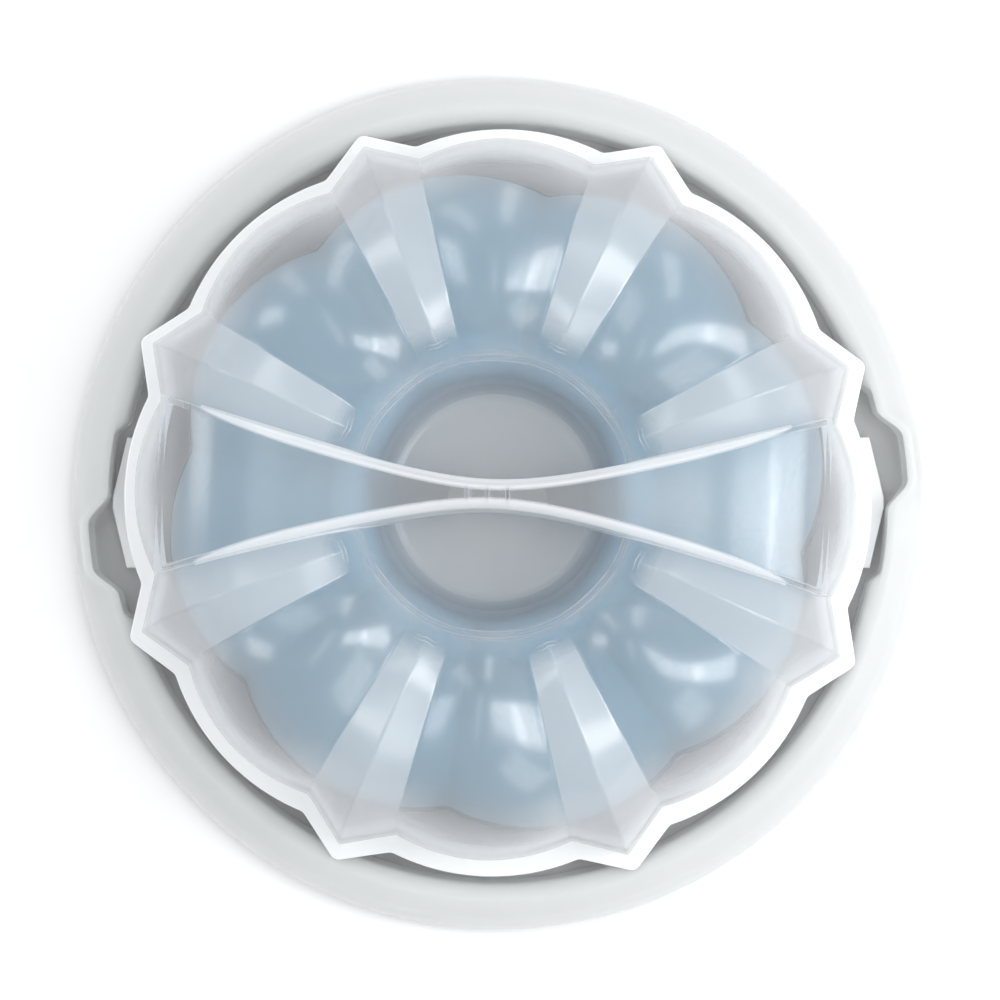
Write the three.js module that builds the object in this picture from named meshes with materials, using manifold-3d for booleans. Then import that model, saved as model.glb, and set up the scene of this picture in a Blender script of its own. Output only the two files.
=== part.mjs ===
// Fluted ring mould in its keeper: a round tray, a hollow ring mould standing on it, and a
// translucent fluted cover with its handle moulded across the well in the crown.
// Millimetres, +Z up. The origin is the middle of the tray's underside; the handle runs along X.
import * as THREE from 'three';
import { mergeVertices } from 'three/addons/utils/BufferGeometryUtils.js';
import Module from 'manifold-3d';

// ---- Tray ----
const TRAY_RADIUS = 165;
const RIM_HEIGHT = 18;
const RIM_BAND = 14.8; // rim's inner edge to the tray's edge
const RIM_DRAFT = 4; // how far the rim's inner wall leans in towards the channel floor
const RIM_ROLL = 5; // depth over which the rim's top rolls into its inner wall
const RIM_LIP = 6.5; // height of the rim's hanging edge above the table
const CHANNEL_WIDTH = 14.5;
const TRAY_WALL = 2.6;
const PLATEAU_RISE = 4.4; // plateau above the channel floor
const POCKET_DEPTH = 7.8;
const POCKET_ANGLE = 8.2; // middle of the first pocket; the second is opposite
const POCKET_HALF = 7.5;
const POCKET_EASE = 4.5; // degrees over which a pocket's end runs out

// ---- Cover ----
const COVER_HEIGHT = 160;
const COVER_WALL = 2.2;
const FLUTES = 8;
const SKIRT_CLEARANCE = 7; // skirt to the channel's outer wall
const SEAT_GAP = 0.4; // skirt's edge above the channel floor
const FLANGE_GAP = 0.6; // flange above the rim
const FLANGE_THICKNESS = 2.4;
const FLANGE_LOBE = 4.4; // flange beyond the skirt, at a lobe's middle
const FLANGE_VALLEY = 1.1; // and beside a point
const FLANGE_POINT = 0.2; // a point's reach past the rim's inner edge
const FLANGE_POINT_HALF = 7.6; // degrees
const FLANGE_STEP = 8; // skirt to the foot of the dome
const CROWN_RADIUS = 75;
const LOBE_FOOT = 2.5; // lobe above its valleys, at the foot
const LOBE_CROWN = 7; // and on the crown
const FIN_HALF = 8; // degrees either side of a fin's crease
const FIN_FOOT = 12; // crease above the valleys, at the foot
const FIN_CROWN = 6;
const WELL_RADIUS = 48;
const WELL_SHOULDER = 26; // crown down to the top of the well's straight wall
const WELL_FLOOR_RADIUS = 37.5;
const WELL_DEPTH = 63; // handle's top to the well's floor
const WELL_FILLET = 3.5;

// ---- Handle ----
const HANDLE_RISE = 3; // above the lobes' crown, in the middle
const HANDLE_STEP = 0.6; // above the lobes, where it crosses their crown
const HANDLE_WAIST = 10.2; // across the waist, at the top
const HANDLE_SPREAD = 0.29; // half width gained per millimetre, well away from the waist
const HANDLE_BEND = 32; // the larger, the more gently the waist turns
const HANDLE_DRAFT = 0.6; // degrees
const HANDLE_REACH = 113; // where its top runs into the lobes
const HANDLE_FILLET = 1.8;
const HANDLE_ROOT = 34; // how far its walls run below the well's floor before trimming
const RIB_THICKNESS = 1.2;
const RIB_PLACES = [-9, -2, 5];

// ---- Lock ----
const LUG_ANGLE = 2; // middle of the first lug; the second is opposite
const LUG_HALF = 10.5;
const LUG_THICKNESS = 3;
const LUG_LIFT = 2; // lug above the skirt's edge
const LUG_CLEARANCE = 0.6; // lug's apex to the wall beside it
const LUG_SLOPE = 3.4; // how much less the lug's ends reach than its apex
const LOCK_TURN = 12; // clockwise turn that takes the lugs into their slots
const SLOT_CLEARANCE = 0.5; // above and below a lug

// ---- Ring mould ----
const MOULD_WALL = 2.5;
const MOULD_TURN = 15; // its lobes against the cover's
const MOULD_CLEARANCE = 3.5; // to the foot of the cover's dome
const MOULD_HEADROOM = 31; // to the inside of the cover's crown
const MOULD_SEAT_GAP = 0.3;
const MOULD_LIP = 3;
const MOULD_LIP_HEIGHT = 3;
const MOULD_LOBE_FOOT = 8;
const MOULD_LOBE_CROWN = 9;
const MOULD_CROWN_RADIUS = 76;
const MOULD_SHOULDER = 14; // crown down to the top of the funnel
const MOULD_FUNNEL_CLEARANCE = 0.8; // top of the funnel to the well's wall, at the crown's height
const TUBE_RADIUS = 19.4; // hole at the funnel's narrow end
const TUBE_BEAD = 2.7;
const TUBE_BEAD_HEIGHT = 4;

// ---- Sizes that follow from those ----
const rimInner = TRAY_RADIUS - RIM_BAND;
const channelOuter = rimInner - RIM_DRAFT;
const channelInner = channelOuter - CHANNEL_WIDTH;
const channelFloor = TRAY_WALL;
const plateauTop = channelFloor + PLATEAU_RISE;

const skirtOuter = channelOuter - SKIRT_CLEARANCE;
const skirtBottom = channelFloor + SEAT_GAP;
const flangeUnder = RIM_HEIGHT + FLANGE_GAP;
const flangeTop = flangeUnder + FLANGE_THICKNESS;
const domeFoot = skirtOuter - FLANGE_STEP;
const crownZ = COVER_HEIGHT - HANDLE_RISE - LOBE_CROWN;
const wellFloor = COVER_HEIGHT - WELL_DEPTH;
const wellLean = (WELL_RADIUS - WELL_FLOOR_RADIUS) / (crownZ - WELL_SHOULDER - wellFloor);
const lugBottom = skirtBottom + LUG_LIFT;
const lugApex = rimInner - LUG_CLEARANCE;

const mouldFoot = domeFoot - COVER_WALL - MOULD_CLEARANCE - MOULD_LOBE_FOOT;
const mouldBottom = plateauTop + MOULD_SEAT_GAP;
const mouldCrown = crownZ - COVER_WALL - MOULD_HEADROOM - MOULD_LOBE_CROWN;

const RAD = Math.PI / 180;
const wasm = await Module();
wasm.setup();

// ---- Meshes and solids ----
function weld(geometry) {
  geometry.deleteAttribute('normal');
  geometry.deleteAttribute('uv');
  const merged = mergeVertices(geometry, 1e-4);
  const kept = [];
  const index = merged.index.array;
  for (let i = 0; i < index.length; i += 3) {
    const [a, b, c] = [index[i], index[i + 1], index[i + 2]];
    if (a !== b && b !== c && c !== a) kept.push(a, b, c);
  }
  merged.setIndex(kept);
  return merged;
}

function signedVolume(geometry) {
  const at = (i) => new THREE.Vector3().fromBufferAttribute(geometry.attributes.position, i);
  const index = geometry.index.array;
  let sum = 0;
  for (let i = 0; i < index.length; i += 3) {
    sum += at(index[i]).dot(at(index[i + 1]).cross(at(index[i + 2])));
  }
  return sum / 6;
}

function solid(geometry) {
  const welded = weld(geometry);
  const triVerts = new Uint32Array(welded.index.array);
  if (signedVolume(welded) < 0) triVerts.reverse();
  const vertProperties = new Float32Array(welded.attributes.position.array);
  return new wasm.Manifold(new wasm.Mesh({ numProp: 3, vertProperties, triVerts }));
}

function geometryOf(manifold) {
  const mesh = manifold.getMesh();
  const geometry = new THREE.BufferGeometry();
  geometry.setAttribute('position', new THREE.BufferAttribute(mesh.vertProperties, 3));
  geometry.setIndex(new THREE.BufferAttribute(mesh.triVerts, 1));
  return geometry;
}

// A lathe whose every point is placed by place(row, column): rows run along the meridian,
// columns around the axis.
function fluted(rows, columns, place) {
  const meridian = rows.map((row) => new THREE.Vector2(row.r, row.z));
  const lathe = new THREE.LatheGeometry(meridian, columns.length);
  const position = lathe.attributes.position;
  for (let i = 0; i < position.count; i++) {
    const column = columns[Math.floor(i / rows.length) % columns.length];
    const { r, z } = place(rows[i % rows.length], column);
    const angle = column.angle * RAD;
    position.setXYZ(i, r * Math.cos(angle), r * Math.sin(angle), z);
  }
  return solid(lathe);
}

function extruded(shape, bottom, height) {
  const settings = { depth: height, bevelEnabled: false, curveSegments: 24 };
  const geometry = new THREE.ExtrudeGeometry(shape, settings);
  geometry.translate(0, 0, bottom);
  return solid(geometry);
}

function polarShape(points) {
  const shape = new THREE.Shape();
  shape.setFromPoints(points.map(([r, angle]) => {
    return new THREE.Vector2(r * Math.cos(angle * RAD), r * Math.sin(angle * RAD));
  }));
  return shape;
}

// ---- Meridians ----
// Adds to each row the unit normal of the meridian, pointing to the left of its direction.
function withNormals(rows) {
  return rows.map((row, i) => {
    const before = rows[Math.max(i - 1, 0)];
    const after = rows[Math.min(i + 1, rows.length - 1)];
    const length = Math.hypot(after.r - before.r, after.z - before.z);
    const nr = row.nr ?? (after.z - before.z) / length;
    const nz = row.nz ?? (before.r - after.r) / length;
    return { ...row, nr, nz };
  });
}

function ramp(x, from, to) {
  const u = Math.min(Math.max((x - from) / (to - from), 0), 1);
  return u * u * (3 - 2 * u);
}

// The outer side of a dome, from its foot (0 degrees) to its crown (90 degrees).
function domeArc(degrees, footR, footZ, topR, topZ) {
  const t = degrees * RAD;
  return {
    r: topR + (footR - topR) * Math.max(Math.cos(t), 0) ** 0.6,
    z: footZ + (topZ - footZ) * Math.sin(t) ** 0.95,
  };
}

// The inner side, from the crown (0 degrees) down to the top of the well or funnel (90 degrees).
function shoulderArc(degrees, topR, topZ, endR, drop) {
  const t = degrees * RAD;
  return { r: topR - (topR - endR) * Math.sin(t), z: topZ - drop * (1 - Math.cos(t)) };
}

function coverRows() {
  const rows = [];
  for (const t of [0, 11, 22, 33, 44, 54, 63, 72, 81, 90]) {
    const lobe = LOBE_FOOT + (LOBE_CROWN - LOBE_FOOT) * Math.sin(t * RAD);
    const fin = FIN_FOOT + (FIN_CROWN - FIN_FOOT) * (t / 90);
    rows.push({ ...domeArc(t, domeFoot, flangeTop, CROWN_RADIUS, crownZ), lobe, fin });
  }
  rows[0].nr = 1;
  rows[0].nz = 0;
  for (const [t, lobe, fin] of [[20, 1, 1], [40, 0.9, 0.9], [49, 0.75, 0], [68, 0.3, 0], [90, 0, 0]]) {
    const at = shoulderArc(t, CROWN_RADIUS, crownZ, WELL_RADIUS, WELL_SHOULDER);
    rows.push({ ...at, lobe: LOBE_CROWN * lobe, fin: FIN_CROWN * fin });
  }
  rows.push({ r: WELL_FLOOR_RADIUS + wellLean * WELL_FILLET, z: wellFloor + WELL_FILLET });
  rows.push({ r: WELL_FLOOR_RADIUS - 0.3 * WELL_FILLET, z: wellFloor + 0.3 * WELL_FILLET });
  rows.push({ r: WELL_FLOOR_RADIUS - WELL_FILLET, z: wellFloor });
  rows.push({ r: 0, z: wellFloor, nr: 0, nz: 1 });
  return withNormals(rows);
}

// ---- Columns ----
// One turn of the cover: a fin's crease, its two valleys, and a lobe between two fins.
function coverColumns() {
  const columns = [];
  const period = 360 / FLUTES;
  const lobeWidth = period - 2 * FIN_HALF;
  for (let k = 0; k < FLUTES; k++) {
    const crease = (k + 0.5) * period;
    columns.push({ angle: crease, lobe: 0, fin: 1 });
    for (let i = 0; i <= 6; i++) {
      const u = i / 3 - 1;
      const angle = crease + FIN_HALF + (lobeWidth * i) / 6;
      columns.push({ angle, lobe: 1 - u * u, fin: 0 });
    }
  }
  return columns;
}

function mouldColumns() {
  const columns = [];
  const period = 360 / FLUTES;
  for (let i = 0; i < FLUTES * 6; i++) {
    const u = (i % 6) / 3 - 1;
    columns.push({ angle: MOULD_TURN + (i / 6 - 0.5) * period, lobe: 1 - u * u });
  }
  return columns;
}

// Moves a row out along its normal by its flute there, less a wall for an inside surface.
function pushed(wall) {
  return (row, column) => {
    const out = (row.lobe ?? 0) * column.lobe + (row.fin ?? 0) * (column.fin ?? 0) - wall;
    return { r: Math.max(row.r + row.nr * out, 0), z: row.z + row.nz * out };
  };
}

// ---- Cover ----
function dome(wall, bottom) {
  const rows = coverRows();
  const foot = { ...rows[0], z: bottom };
  const closing = { ...rows[0], r: 0, z: bottom, nr: 0, nz: 0 };
  return fluted([closing, foot, ...rows], coverColumns(), pushed(wall));
}

function flange() {
  const points = [];
  const period = 360 / FLUTES;
  const valley = skirtOuter + FLANGE_VALLEY;
  const lobe = FLANGE_LOBE - FLANGE_VALLEY;
  const width = period - 2 * FLANGE_POINT_HALF;
  for (let k = 0; k < FLUTES; k++) {
    const tip = (k + 0.5) * period;
    points.push([rimInner + FLANGE_POINT, tip - 0.4], [rimInner + FLANGE_POINT, tip + 0.4]);
    for (let i = 0; i <= 8; i++) {
      const u = i / 4 - 1;
      points.push([valley + lobe * (1 - u * u), tip + FLANGE_POINT_HALF + (width * i) / 8]);
    }
  }
  return extruded(polarShape(points), flangeUnder, FLANGE_THICKNESS);
}

function skirt() {
  const inner = skirtOuter - COVER_WALL;
  const top = flangeUnder + FLANGE_THICKNESS / 3;
  const profile = [
    [inner, skirtBottom],
    [skirtOuter, skirtBottom],
    [skirtOuter, top],
    [inner, top],
    [inner, skirtBottom],
  ];
  const rows = profile.map(([r, z]) => ({ r, z }));
  const columns = Array.from({ length: 72 }, (_, i) => ({ angle: i * 5 }));
  return fluted(rows, columns, (row) => row);
}

function lug(angle) {
  const root = skirtOuter - COVER_WALL / 2;
  const shape = polarShape([
    [root, angle - LUG_HALF],
    [lugApex - LUG_SLOPE, angle - LUG_HALF + 0.5],
    [lugApex, angle - 0.8],
    [lugApex, angle + 0.8],
    [lugApex - LUG_SLOPE, angle + LUG_HALF - 0.5],
    [root, angle + LUG_HALF],
    [root, angle + LUG_HALF / 2],
    [root, angle],
    [root, angle - LUG_HALF / 2],
  ]);
  return extruded(shape, lugBottom, LUG_THICKNESS);
}

// ---- Handle ----
function lobeTopAt(radius) {
  const line = coverRows().slice(0, 10).map((row) => {
    return { r: row.r + row.nr * row.lobe, z: row.z + row.nz * row.lobe };
  });
  if (radius <= line[line.length - 1].r) return line[line.length - 1].z;
  const i = line.findIndex((point) => point.r <= radius);
  const [a, b] = [line[Math.max(i, 1) - 1], line[Math.max(i, 1)]];
  return a.z + ((b.z - a.z) * (radius - a.r)) / (b.r - a.r);
}

function handleLine() {
  const places = [0, 0.07, 0.16, 0.27, 0.4, 0.53, 0.66, 0.76, 0.84, 0.9, 0.95, 1, 1.04];
  const half = places.map((share) => {
    const x = share * HANDLE_REACH;
    const inner = Math.min(x / CROWN_RADIUS, 1);
    const rise = HANDLE_RISE - (HANDLE_RISE - HANDLE_STEP) * inner * inner;
    const run = Math.max((x - CROWN_RADIUS) / (HANDLE_REACH - CROWN_RADIUS), 0);
    return { r: x, z: lobeTopAt(x) + rise * (1 - run * run) };
  });
  const other = half.slice(1).reverse().map(({ r, z }) => ({ r: -r, z }));
  return withNormals([...half.slice().reverse(), ...other.reverse()]);
}

function handleHalfWidth(x, z) {
  const spread = HANDLE_SPREAD * (Math.hypot(x, HANDLE_BEND) - HANDLE_BEND);
  return HANDLE_WAIST / 2 + spread + Math.tan(HANDLE_DRAFT * RAD) * (COVER_HEIGHT - z);
}

// A cross-section of the handle at one station: bottom left, over the top, to bottom right.
function handleSection(station, wall) {
  const x = station.r - station.nr * wall;
  const top = station.z - station.nz * wall;
  const bottom = wellFloor - HANDLE_ROOT;
  const fillet = Math.max(HANDLE_FILLET - wall / 2, 0.3);
  const half = (z) => handleHalfWidth(x, z) - wall;
  const right = [[half(bottom), bottom], [half(top - fillet), top - fillet]];
  right.push([half(top) - 0.3 * fillet, top - 0.3 * fillet], [half(top) - fillet, top]);
  const left = right.map(([y, z]) => [-y, z]).reverse();
  return [...right, ...left].map(([y, z]) => new THREE.Vector3(x, y, z));
}

function loft(sections) {
  const count = sections[0].length;
  const vertices = sections.flat();
  const index = [];
  for (let s = 0; s + 1 < sections.length; s++) {
    for (let i = 0; i < count; i++) {
      const [a, b] = [s * count + i, s * count + ((i + 1) % count)];
      index.push(a, b, a + count, b, b + count, a + count);
    }
  }
  const last = (sections.length - 1) * count;
  for (let i = 1; i + 1 < count; i++) {
    index.push(0, i + 1, i, last, last + i, last + i + 1);
  }
  const geometry = new THREE.BufferGeometry().setFromPoints(vertices);
  geometry.setIndex(index);
  return solid(geometry);
}

function handle(wall) {
  return loft(handleLine().map((station) => handleSection(station, wall)));
}

function rib(x) {
  const height = WELL_DEPTH + HANDLE_ROOT;
  const box = new THREE.BoxGeometry(RIB_THICKNESS, 2 * HANDLE_WAIST, height);
  box.translate(x, 0, wellFloor + height / 2);
  return solid(box).intersect(handle(COVER_WALL / 2));
}

function cover() {
  let body = dome(0, flangeUnder + FLANGE_THICKNESS / 2).add(flange()).add(handle(0));
  body = body.subtract(dome(COVER_WALL, flangeUnder - 4)).subtract(handle(COVER_WALL));
  body = body.add(skirt());
  for (const side of [0, 180]) body = body.add(lug(LUG_ANGLE + side));
  for (const x of RIB_PLACES) body = body.add(rib(x));
  return body;
}

// ---- Tray ----
function awayFrom(angle, middle) {
  return Math.abs(((((angle - middle) % 180) + 270) % 180) - 90);
}

function pocketAt(angle) {
  return 1 - ramp(awayFrom(angle, POCKET_ANGLE), POCKET_HALF - POCKET_EASE, POCKET_HALF);
}

// The wall stands upright where a lug comes down, and leans in elsewhere.
function bayAt(angle) {
  const middle = (POCKET_ANGLE + LUG_ANGLE) / 2;
  const half = LUG_HALF + (POCKET_ANGLE - LUG_ANGLE) / 2;
  return 1 - ramp(awayFrom(angle, middle), half - 0.5, half + 2);
}

function trayColumns() {
  const start = LUG_ANGLE - LUG_HALF;
  const near = [start - 4, start - 2, start + 0.5, start + 5];
  for (const step of [-7.5, -6, -4.5, -3, 0, 3, 4.5, 6, 7.5]) {
    near.push(POCKET_ANGLE + (step * POCKET_HALF) / 7.5);
  }
  near.push(POCKET_ANGLE + LUG_HALF - 0.5, POCKET_ANGLE + LUG_HALF + 2.5);
  const from = near[near.length - 1];
  const to = near[0] + 180;
  const steps = Math.round((to - from) / 4.7);
  for (let i = 1; i < steps; i++) near.push(from + ((to - from) * i) / steps);
  const half = near.map((angle) => ({ angle }));
  return [...half, ...half.map(({ angle }) => ({ angle: angle + 180 }))];
}

// Each row of the tray: radius, height, and how far a pocket and a lug's bay push it out.
function trayRows() {
  const R = TRAY_RADIUS;
  const H = RIM_HEIGHT;
  const under = plateauTop - TRAY_WALL;
  const roll = (lean, drop) => [channelOuter + RIM_DRAFT * lean, H - RIM_ROLL * drop, 1, 1 - lean];
  const rows = [
    [0, plateauTop, 0, 0],
    [channelInner - 1, plateauTop, 0, 0],
    [channelInner, plateauTop - 1, 0, 0],
    [channelInner + 0.8, channelFloor, 0, 0],
    [channelOuter - 0.6, channelFloor, 1, 1],
    [channelOuter, channelFloor + 0.8, 1, 1],
    roll(0.06, 1),
    roll(0.16, 0.6),
    roll(0.4, 0.36),
    roll(0.75, 0.2),
    roll(1, 0.1),
    [rimInner + 2.6, H, 1, 0],
    [R - 9.5, H - 0.6, 0.75, 0],
    [R - 4.6, H - 2.2, 0.2, 0],
    [R - 1.6, H - 4.6, 0, 0],
    [R - 0.3, H - 7, 0, 0],
    [R, H - 9.2, 0, 0],
    [R, RIM_LIP, 0, 0],
    [R - 2.2, RIM_LIP, 0, 0],
    [R - 2.5, H - 7.6, 0, 0],
    [R - 4.6, H - 4.9, 0.15, 0],
    [R - 9.8, H - 3, 0.65, 0],
    [rimInner + 2.6, H - 3.2, 1, 0],
    [channelOuter + 4.4, H - 3.9, 1, 0.5],
    [channelOuter + 3.2, H - 5.6, 1, 0.8],
    [channelOuter + 2.5, 1, 1, 1],
    [channelOuter + 1.6, 0, 1, 1],
    [channelInner - 1.8, 0, 0, 0],
    [channelInner - 2.8, under, 0, 0],
    [0, under, 0, 0],
  ];
  return rows.map(([r, z, pocket, bay]) => ({ r, z, pocket, bay }));
}

function lockSlot(side) {
  const from = LUG_ANGLE - LUG_HALF - LOCK_TURN + side;
  const to = LUG_ANGLE - LUG_HALF + side;
  const points = [];
  for (let i = 0; i <= 4; i++) points.push([channelOuter - 2, from + ((to - from) * i) / 4]);
  for (let i = 4; i >= 0; i--) points.push([lugApex + 3, from + ((to - from) * i) / 4]);
  const height = LUG_THICKNESS + 2 * SLOT_CLEARANCE;
  return extruded(polarShape(points), lugBottom - SLOT_CLEARANCE, height);
}

function tray() {
  const place = (row, { angle }) => {
    const out = row.pocket * POCKET_DEPTH * pocketAt(angle) + row.bay * RIM_DRAFT * bayAt(angle);
    return { r: row.r + out, z: row.z };
  };
  const body = fluted(trayRows(), trayColumns(), place);
  return body.subtract(lockSlot(0)).subtract(lockSlot(180));
}

// ---- Ring mould ----
function mouldRows() {
  const lipTop = mouldBottom + MOULD_LIP_HEIGHT;
  const wellUnder = wellFloor - COVER_WALL;
  const wellWall = WELL_FLOOR_RADIUS + wellLean * (mouldCrown - wellFloor);
  const funnelTop = wellWall + COVER_WALL + MOULD_FUNNEL_CLEARANCE;
  const rows = [];
  for (const t of [4, 16, 29, 42, 55, 67, 78, 90]) {
    const lobe = MOULD_LOBE_FOOT + (MOULD_LOBE_CROWN - MOULD_LOBE_FOOT) * Math.sin(t * RAD);
    rows.push({ ...domeArc(t, mouldFoot, mouldBottom, MOULD_CROWN_RADIUS, mouldCrown), lobe });
  }
  for (const [t, lobe] of [[25, 1], [50, 0.85], [75, 0.4]]) {
    const at = shoulderArc(t, MOULD_CROWN_RADIUS, mouldCrown, funnelTop + 1, MOULD_SHOULDER);
    rows.push({ ...at, lobe: MOULD_LOBE_CROWN * lobe });
  }
  rows.push({ r: funnelTop, z: Math.min(wellUnder, mouldCrown - MOULD_SHOULDER - 2), lobe: 0 });
  rows.push({ r: TUBE_RADIUS + 0.4, z: mouldBottom + TUBE_BEAD_HEIGHT, lobe: 0 });
  const skin = withNormals(rows);
  const inside = skin.slice().reverse().map((row) => ({ ...row, wall: MOULD_WALL }));
  const foot = { lobe: MOULD_LOBE_FOOT, nr: 1, nz: 0 };
  const tube = { lobe: 0, nr: 0, nz: 0 };
  const beadTop = mouldBottom + TUBE_BEAD_HEIGHT;
  const loop = [
    { ...foot, r: mouldFoot - MOULD_WALL, z: mouldBottom },
    { ...foot, r: mouldFoot + MOULD_LIP, z: mouldBottom },
    { ...foot, r: mouldFoot + MOULD_LIP, z: lipTop },
    ...skin,
    { ...tube, r: TUBE_RADIUS, z: beadTop - 1 },
    { ...tube, r: TUBE_RADIUS, z: mouldBottom },
    { ...tube, r: TUBE_RADIUS + TUBE_BEAD, z: mouldBottom },
    { ...tube, r: TUBE_RADIUS + TUBE_BEAD, z: beadTop - 1 },
    ...inside,
  ];
  return [...loop, loop[0]];
}

function ringMould() {
  return fluted(mouldRows(), mouldColumns(), (row, column) => pushed(row.wall ?? 0)(row, column));
}

// ---- Assembly ----
function piece(name, manifold, material) {
  const mesh = new THREE.Mesh(geometryOf(manifold), new THREE.MeshStandardMaterial(material));
  mesh.name = name;
  return mesh;
}

const keeper = new THREE.Group();
keeper.name = 'fluted_mould_keeper';
keeper.add(piece('tray', tray(), { color: 0xe6e8e8, roughness: 0.38, metalness: 0 }));
keeper.add(piece('ring_mould', ringMould(), { color: 0x7f9db0, roughness: 0.45, metalness: 0 }));
keeper.add(piece('cover', cover(), {
  color: 0xd6e2ea,
  roughness: 0.12,
  metalness: 0,
  transparent: true,
  opacity: 0.45,
}));

export default keeper;
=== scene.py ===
"""Fluted ring mould in its keeper: white tray, blue-grey ring mould and translucent fluted cover.

Every length is in millimetres until a mesh is made, and angles are in degrees.
"""

import math

import bpy
import numpy as np
from mathutils import Matrix, Vector


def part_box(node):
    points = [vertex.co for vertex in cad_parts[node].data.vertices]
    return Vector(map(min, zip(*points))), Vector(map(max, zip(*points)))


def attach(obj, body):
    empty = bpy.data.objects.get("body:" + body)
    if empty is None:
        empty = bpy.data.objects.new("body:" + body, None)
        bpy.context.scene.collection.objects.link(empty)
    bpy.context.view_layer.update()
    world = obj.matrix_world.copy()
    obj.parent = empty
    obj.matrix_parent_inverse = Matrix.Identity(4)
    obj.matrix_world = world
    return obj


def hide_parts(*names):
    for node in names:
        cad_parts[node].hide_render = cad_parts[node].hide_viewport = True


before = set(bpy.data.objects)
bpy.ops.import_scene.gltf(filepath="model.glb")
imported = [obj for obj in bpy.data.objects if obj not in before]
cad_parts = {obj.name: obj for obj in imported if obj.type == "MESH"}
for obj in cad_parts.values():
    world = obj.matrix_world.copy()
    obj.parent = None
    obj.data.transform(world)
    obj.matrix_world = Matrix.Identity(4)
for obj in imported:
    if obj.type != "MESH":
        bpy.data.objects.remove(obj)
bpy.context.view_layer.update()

MM = 0.001
RAD = math.pi / 180

tray_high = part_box("tray")[1] / MM
mould_low, mould_high = (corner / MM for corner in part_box("ring_mould"))
cover_low, cover_high = (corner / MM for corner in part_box("cover"))

# ---- Sizes of the tray ----
TRAY_RADIUS = tray_high.x
RIM_HEIGHT = tray_high.z
RIM_LIP = 6.5
TRAY_WALL = 2.6
PLATEAU_TOP = 7.0
RIM_INNER = TRAY_RADIUS - 14.8
RIM_DRAFT = 4.0
RIM_ROLL = 5.0
CHANNEL_OUTER = RIM_INNER - RIM_DRAFT
CHANNEL_INNER = CHANNEL_OUTER - 14.5
POCKET_DEPTH = 7.8
POCKET_ANGLE = 8.2
POCKET_HALF = 7.5
POCKET_EASE = 4.5
TRAY_COLUMNS = 720

# ---- Sizes of the cover ----
COVER_TOP = cover_high.z
COVER_WALL = 2.2
FLUTES = 8
PERIOD = 360 / FLUTES
SKIRT_BOTTOM = cover_low.z
SKIRT_OUTER = CHANNEL_OUTER - 7.0
FLANGE_UNDER = RIM_HEIGHT + 0.6
FLANGE_TOP = FLANGE_UNDER + 2.4
FLANGE_FLARE = 4.0
DOME_FOOT = SKIRT_OUTER - 8.0
CROWN_RADIUS = 75.0
CROWN_Z = COVER_TOP - 10.0
LOBE_FOOT, LOBE_CROWN = 2.5, 7.0
FIN_FOOT, FIN_CROWN = 12.0, 6.0
FIN_HALF = 8.0
FIN_SOFTNESS = 0.45
DOME_STEP = 1.7
WELL_RADIUS, WELL_FLOOR_RADIUS = 48.0, 37.5
WELL_SHOULDER = 26.0
WELL_FLOOR = COVER_TOP - 63.0

HANDLE_HALF_WAIST = 5.1
HANDLE_SPREAD = 0.29
HANDLE_BEND = 32.0
HANDLE_DRAFT = math.tan(0.6 * RAD)
HANDLE_REACH = 113.0
HANDLE_RISE, HANDLE_STEP = 3.0, 0.6
HANDLE_FILLET = 1.8
HANDLE_BOTTOM = WELL_FLOOR - 34.0
RIB_PLACES = (-9.0, -2.0, 5.0)
RIB_HALF = 0.6

LUG_ANGLE = 2.0
LUG_HALF = 10.5
LUG_APEX = RIM_INNER - 0.6
LUG_BOTTOM = SKIRT_BOTTOM + 2.0
LUG_THICKNESS = 3.0
SLOT_CLEARANCE = 0.5
LOCK_TURN = 12.0

# ---- Sizes of the ring mould ----
MOULD_WALL = 2.5
MOULD_LIP = 3.0
MOULD_TURN = 15.0
MOULD_BOTTOM = mould_low.z
MOULD_FOOT = 117.5
MOULD_CROWN = mould_high.z - 9.0
MOULD_CROWN_RADIUS = 76.0
FUNNEL_TOP = 44.7
TUBE_RADIUS = 19.4

# ---- Meshes ----
FINE = 2880  # samples round a ring before it is thinned to columns
fine_angles = np.arange(FINE) * 360 / FINE


def new_object(name, points, faces):
    mesh = bpy.data.meshes.new(name)
    mesh.from_pydata((np.asarray(points) * MM).tolist(), [], faces)
    mesh.validate()
    mesh.update()
    made = bpy.data.objects.new(name, mesh)
    bpy.context.scene.collection.objects.link(made)
    return made


def outward(points, faces):
    """The faces, turned over if they enclose a negative volume."""
    points = np.asarray(points)
    corners = np.array([(f[0], f[i], f[i + 1]) for f in faces for i in range(1, len(f) - 1)])
    a, b, c = (points[corners[:, k]] for k in range(3))
    volume = np.einsum("ij,ij->i", a, np.cross(b, c)).sum()
    return [face[::-1] for face in faces] if volume < 0 else faces


def ring_faces(first, second, count):
    nexts = (np.arange(count) + 1) % count
    return [
        (first + i, first + int(nexts[i]), second + int(nexts[i]), second + i)
        for i in range(count)
    ]


def capped(name, rings):
    """A solid from rings of points, each end closed by a fan about the ring's middle."""
    rings = np.asarray(rings)
    rows, count = rings.shape[:2]
    points = list(rings.reshape(-1, 3)) + [rings[0].mean(0), rings[-1].mean(0)]
    faces = []
    for row in range(rows - 1):
        faces += ring_faces(row * count, (row + 1) * count, count)
    last = (rows - 1) * count
    for i in range(count):
        j = (i + 1) % count
        faces.append((rows * count, j, i))
        faces.append((rows * count + 1, last + i, last + j))
    return new_object(name, points, outward(points, faces))


def looped(name, rings):
    """A ring-shaped solid: the last ring of points joins the first."""
    rings = np.asarray(rings)
    rows, count = rings.shape[:2]
    points = rings.reshape(-1, 3)
    faces = []
    for row in range(rows):
        faces += ring_faces(row * count, (row + 1) % rows * count, count)
    return new_object(name, points, outward(points, faces))


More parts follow.
